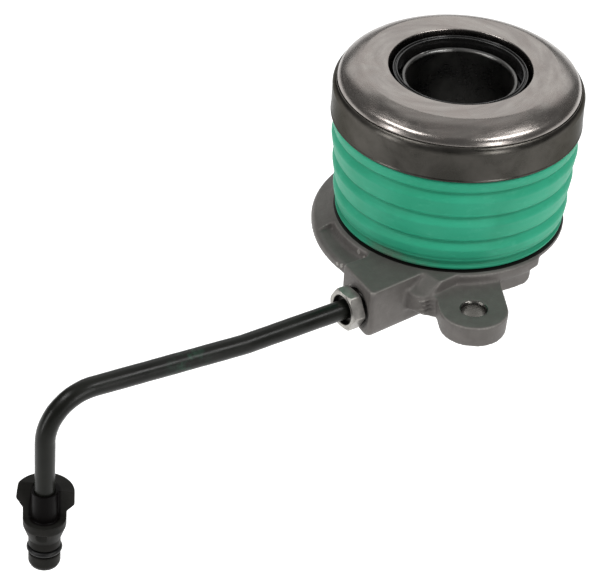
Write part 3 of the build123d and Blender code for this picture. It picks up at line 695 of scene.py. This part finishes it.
loops = []
for i in range(len(P)):
    # hand-bent tube: hardly visible flattening and waviness
    d = 0.015 * math.sin(i * 0.7) + 0.01 * math.sin(i * 1.9 + 1.0)
    loops.append(tube_ring(i, 2.8 + d - 0.025))
for i in range(len(P) - 1, -1, -1):
    loops.append(tube_ring(i, 1.65))
V = np.concatenate(loops) * MM
faces = []
n = len(loops)
for i in range(n):
    j = (i + 1) % n
    for k in range(SEG):
        l = (k + 1) % SEG
        faces.append((i * SEG + k, i * SEG + l, j * SEG + l, j * SEG + k))
pipe = new_mesh("steel_pipe", V, faces)
pipe.data.set_sharp_from_angle(angle=math.radians(50))
finished(pipe, "pressure_pipe", "housing")

# tube nut: hexagon with a turned chamfer, relief, thread; round the pipe axis
side0 = np.array((0.0, 0.0, 1.0))
side1 = np.cross(AX, side0)


def port_frame(V):
    return PORT + V[:, 2:3] * AX + V[:, 0:1] * side0 + V[:, 1:2] * side1


HEX = 6.3


def hex_r(A):
    """Hexagon with flats at angle 0: one flat is level on top."""
    q = (A + math.pi / 6) % (math.pi / 3) - math.pi / 6
    return HEX * math.cos(math.pi / 6) / np.cos(q)


stations = [(-4.3, "c", 4.3), (-4.5, "c", 4.5), (-4.5, "c", 5.3)]
for t in np.linspace(0.0, 1.0, 16):
    stations.append((-4.5 + 0.6 * t, "h", 5.5 + t * 1.0))
stations += [(-2.6, "h", 9.0)]
for t in np.linspace(0.6, 0.0, 8):
    stations.append((-0.7 - t, "h", 5.8 + t * 1.1))
stations += [(-0.7, "c", 5.75), (-0.7, "c", 4.3), (-0.66, "c", 4.2), (0.35, "c", 4.2)]
for t in np.arange(0.4, 7.6, 0.125):
    stations.append((t, "t", 0.0))
stations += [(7.75, "c", 4.3), (7.9, "c", 4.1), (7.9, "c", 2.85), (-2.9, "c", 2.85), (-2.9, "c", 4.2), (-4.2, "c", 4.28)]
HS = 192
A = np.linspace(0, 2 * math.pi, HS, endpoint=False)
V = []
for t, kind, r in stations:
    if kind == "c":
        R = np.full(HS, r)
    elif kind == "h":
        h = np.minimum(hex_r(A), HEX - 0.16)
        R = np.minimum(h, r)
    else:
        ph = (t / 1.0 - A / (2 * math.pi)) % 1.0
        R = 4.4 + 0.53 * (1 - np.abs(2 * ph - 1)) * min(1.0, (t - 0.35) / 0.5)
    V.append(np.stack([R * np.cos(A), R * np.sin(A), np.full(HS, t)], -1))
V = port_frame(np.concatenate(V)) * MM
faces = []
n = len(stations)
for i in range(n):
    j = (i + 1) % n
    for k in range(HS):
        l = (k + 1) % HS
        faces.append((i * HS + k, i * HS + l, j * HS + l, j * HS + k))
nut = new_mesh("tube_nut", V, faces)
nut.data.set_sharp_from_angle(angle=math.radians(24))
finished(nut, "flare_nut", "housing")


# ------------------------------------------------------- cast housing, mould
def remeshed(name, source, voxel, smooth, tris, extra=None, after=None, factor=0.5, soft=None):
    """A copy of a piece with its edges rounded as a mould leaves them."""
    me = source.data.copy()
    ob = bpy.data.objects.new(name, me)
    scene.collection.objects.link(ob)
    if extra is not None:
        bm = bmesh.new()
        bm.from_mesh(me)
        extra(bm)
        bm.to_mesh(me)
        bm.free()
    for m in list(ob.modifiers):
        ob.modifiers.remove(m)
    r = ob.modifiers.new("remesh", "REMESH")
    r.mode = "VOXEL"
    r.voxel_size = voxel
    r.use_smooth_shade = True
    dg = bpy.context.evaluated_depsgraph_get()
    me2 = bpy.data.meshes.new_from_object(ob.evaluated_get(dg))
    ob.modifiers.clear()
    ob.data = me2
    s = ob.modifiers.new("smooth", "SMOOTH")
    s.factor = factor
    s.iterations = smooth
    if soft is not None:
        co = np.zeros(len(me2.vertices) * 3)
        me2.vertices.foreach_get("co", co)
        w = soft(co.reshape(-1, 3) / MM)
        vg = ob.vertex_groups.new(name="soft")
        for i in np.nonzero(w > 0.01)[0]:
            vg.add([int(i)], float(w[i]), "REPLACE")
        s2 = ob.modifiers.new("soften", "SMOOTH")
        s2.factor = factor
        s2.iterations = 26
        s2.vertex_group = "soft"
    count = sum(len(p.vertices) - 2 for p in me2.polygons)
    if count > tris:
        d = ob.modifiers.new("decimate", "DECIMATE")
        d.ratio = tris / count
        e = ob.modifiers.new("even", "SMOOTH")
        e.factor = 0.4
        e.iterations = 2
    dg = bpy.context.evaluated_depsgraph_get()
    me3 = bpy.data.meshes.new_from_object(ob.evaluated_get(dg))
    ob.modifiers.clear()
    ob.data = me3
    if after is not None:
        co = np.zeros(len(me3.vertices) * 3)
        me3.vertices.foreach_get("co", co)
        co = after(co.reshape(-1, 3) / MM) * MM
        me3.vertices.foreach_set("co", co.ravel())
        me3.update()
    me3.polygons.foreach_set("use_smooth", [True] * len(me3.polygons))
    print(name, "tris", sum(len(p.vertices) - 2 for p in me3.polygons))
    return ob


def add_block(bm, corners):
    """Eight corners, bottom ring then top ring, in mm."""
    vs = [bm.verts.new(Vector(c) * MM) for c in corners]
    for f in ((3, 2, 1, 0), (4, 5, 6, 7), (0, 1, 5, 4), (1, 2, 6, 5), (2, 3, 7, 6), (3, 0, 4, 7)):
        bm.faces.new([vs[i] for i in f])


def casting_extras(bm):
    # fillet the corner between the boss, the web and the front ear
    for z0, z1, k in ((0.6, 2.2, 1.0), (2.2, 4.0, 0.8), (4.0, 5.9, 0.5)):
        add_block(bm, [(-11.5, -37.3, z0), (-4.3, -41.2 - 0.5 * k, z0), (-1.0, -38.0, z0), (-8.0, -33.0, z0),
                       (-11.5, -37.3, z1), (-4.3, -41.2 - 0.3 * k, z1), (-1.0, -38.0, z1), (-8.0, -33.0, z1)])


def keep_bores(co):
    r = np.hypot(co[:, 0], co[:, 1])
    z = co[:, 2]
    m = (r < 20.6) & (r > 19.0) & (z > 0.2) & (z < 24.4)
    co[m, :2] *= (20.6 / r[m])[:, None]
    m = (r < 16.3) & (z < 0.2)
    co[m, :2] *= (16.3 / r[m])[:, None]
    # small steps left by the mould where the boss runs into the ear
    x, y = co[:, 0], co[:, 1]
    front = (x > -11.0) & (x < 0.6) & (y < -36.0) & (y > -43.5) & (z > 0.2) & (z < 6.6)
    across = np.exp(-(((x + 3.9) / 2.3) ** 4))
    along = np.exp(-(((z - 3.9) / 2.2) ** 6))
    step = 0.30 * across * along * np.sin((z - 0.35 * (x + 4.0)) * 2 * math.pi / 1.25)
    step[~front] = 0.0
    co[:, 0] -= 0.30 * step
    co[:, 1] -= 0.95 * step
    return co


def web_corner(co):
    """Weight 1 in the corner between boss and ear, fading out around it."""
    x, y, z = co[:, 0], co[:, 1], co[:, 2]
    d = np.sqrt(((x + 4.6) / 5.4) ** 2 + ((y + 38.0) / 4.6) ** 2 + ((z - 4.6) / 5.0) ** 4)
    w = np.clip(2.0 - 2.0 * d, 0.0, 1.0)
    w[(np.hypot(x, y) < 33.6)] = 0.0
    return w


casting = remeshed("casting", frame["nodes"]["housing"], 0.00042, 7, 190000, casting_extras, keep_bores, soft=web_corner)
finished(casting, "housing", "housing")

plug = remeshed("plug_body", frame["nodes"]["connector_body"], 0.00016, 4, 90000)
finished(plug, "connector_body", "housing")

for name, node, body in (("plug_ring", "connector_o_ring", "housing"), ("stop_wire", "stop_ring", "housing")):
    src = frame["nodes"][node]
    src.data.polygons.foreach_set("use_smooth", [True] * len(src.data.polygons))

for node in ("outer_race", "carrier_plate", "float_retainer", "float_spring", "bearing_seal", "ball_cage", "balls",
             "piston_seal", "seal_support_ring", "stop_ring", "spring_seat", "sleeve_o_ring", "mount_o_ring", "connector_o_ring"):
    me = frame["nodes"][node].data
    me.polygons.foreach_set("use_smooth", [True] * len(me.polygons))
    me.set_sharp_from_angle(angle=math.radians(32))

# ------------------------------------------------------------- floor, light
FLOOR = -0.120
FRONT_GLOW = 0.14
bm = bmesh.new()
bmesh.ops.create_grid(bm, x_segments=1, y_segments=1, size=6.0)
me = bpy.data.meshes.new("floor")
bm.to_mesh(me)
bm.free()
floor = bpy.data.objects.new("floor", me)
floor.location = (0, 0, FLOOR)
scene.collection.objects.link(floor)
# painted light: the floor glows by emission, white under and behind the object, dim towards the front
fm = Mat("pale_floor")
sep = fm.t.nodes.new("ShaderNodeSeparateXYZ")
fm.link(fm.co, sep.inputs[0])
lit = fm.ramp(fm.math("MULTIPLY_ADD", sep.outputs[1], 1.0, 0.5), (0.22, FRONT_GLOW), (0.44, 0.91))
fm.set(Base_Color=(0.55, 0.55, 0.545, 1), Roughness=0.9, Specular_IOR_Level=0.1, Emission_Strength=1.0)
fm.put("Emission Color", lit)
floor.data.materials.append(fm.m)

world = bpy.data.worlds.new("studio")
scene.world = world
world.use_nodes = True
bg = world.node_tree.nodes["Background"]
bg.inputs[0].default_value = (1.0, 1.0, 0.99, 1)
bg.inputs[1].default_value = 0.16


def softbox(name, pos, size, radiance, target=(0.0, -0.02, 0.03), colour=(1, 1, 1)):
    L = bpy.data.lights.new(name, "AREA")
    L.shape = "RECTANGLE"
    L.size, L.size_y = size
    L.energy = radiance * math.pi * size[0] * size[1]
    L.color = colour
    o = bpy.data.objects.new(name, L)
    o.location = pos
    d = Vector(target) - Vector(pos)
    o.rotation_euler = d.to_track_quat("-Z", "Y").to_euler()
    o.visible_camera = False
    scene.collection.objects.link(o)
    return o


softbox("back", (-0.03, 1.05, 0.76), (1.8, 0.85), 1.0)
softbox("overhead", (0.0, 0.32, 1.0), (0.9, 0.44), 0.5)
softbox("overhead_front", (0.0, -0.20, 1.02), (0.5, 0.55), 0.20)
softbox("low_left", (-0.80, -0.54, 0.14), (0.17, 0.50), 7.4)
softbox("low_right", (0.58, -0.80, 0.14), (0.21, 0.50), 7.8)
softbox("high_left", (-0.56, -0.34, 0.76), (0.54, 0.20), 9.4)
softbox("high_right", (0.55, -0.30, 0.76), (0.54, 0.20), 12.0)

# ------------------------------------------------------------------- camera
cam_data = bpy.data.cameras.new("camera")
cam = bpy.data.objects.new("camera", cam_data)
scene.collection.objects.link(cam)
R0 = Vector((0.9951, 0.0859, 0.0492))
R2 = Vector((-0.0424, 0.8189, -0.5724)).normalized()
R0 = (R0 - R2 * R0.dot(R2)).normalized()
R1 = R2.cross(R0)
cam.matrix_world = Matrix((
    (R0.x, -R1.x, -R2.x, 0.0),
    (R0.y, -R1.y, -R2.y, -0.7834412),
    (R0.z, -R1.z, -R2.z, 0.5235288),
    (0, 0, 0, 1)))
cam_data.lens = 198.0
cam_data.sensor_width = 36.0
cam_data.clip_start = 0.05
cam_data.clip_end = 50.0
cam_data.dof.use_dof = False
scene.camera = cam
